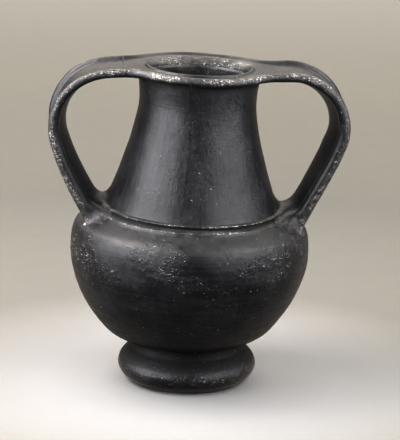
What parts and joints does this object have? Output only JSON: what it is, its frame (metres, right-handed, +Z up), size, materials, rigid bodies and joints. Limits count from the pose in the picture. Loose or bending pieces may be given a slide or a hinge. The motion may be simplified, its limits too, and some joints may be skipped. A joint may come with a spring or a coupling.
{
  "type": "amphora",
  "caption": "Black burnished earthenware amphora with a disc foot, globular body, ridged collar, tapering neck, level rolled lip and broad strap handles arching from the lip to the shoulder",
  "frame": {"origin": "on the plane the pot stands on, under the middle of its bounding box; the foot's own centre is 5.4 mm to -X of it, because the neck leans and the handles reach unequally", "axes": "+X runs from the left handle to the right handle, +Y to the back of the pot and +Z up"},
  "size_m": [0.2376, 0.1904, 0.2588],
  "materials": {
    "burnished_clay": "black reduction-fired clay, burnished to a soft sheen, with scratches and pale specks",
    "foot_clay": "black burnished clay, rubbed along the rim",
    "rim_clay": "black clay, duller and dustier, with pale encrustation along the edges"
  },
  "bodies": {
    "root": {"foot": "foot_clay", "body": "burnished_clay", "collar": "burnished_clay", "neck": "burnished_clay", "lip": "rim_clay", "handle_left": "rim_clay", "handle_right": "rim_clay"}
  },
  "joints": []
}
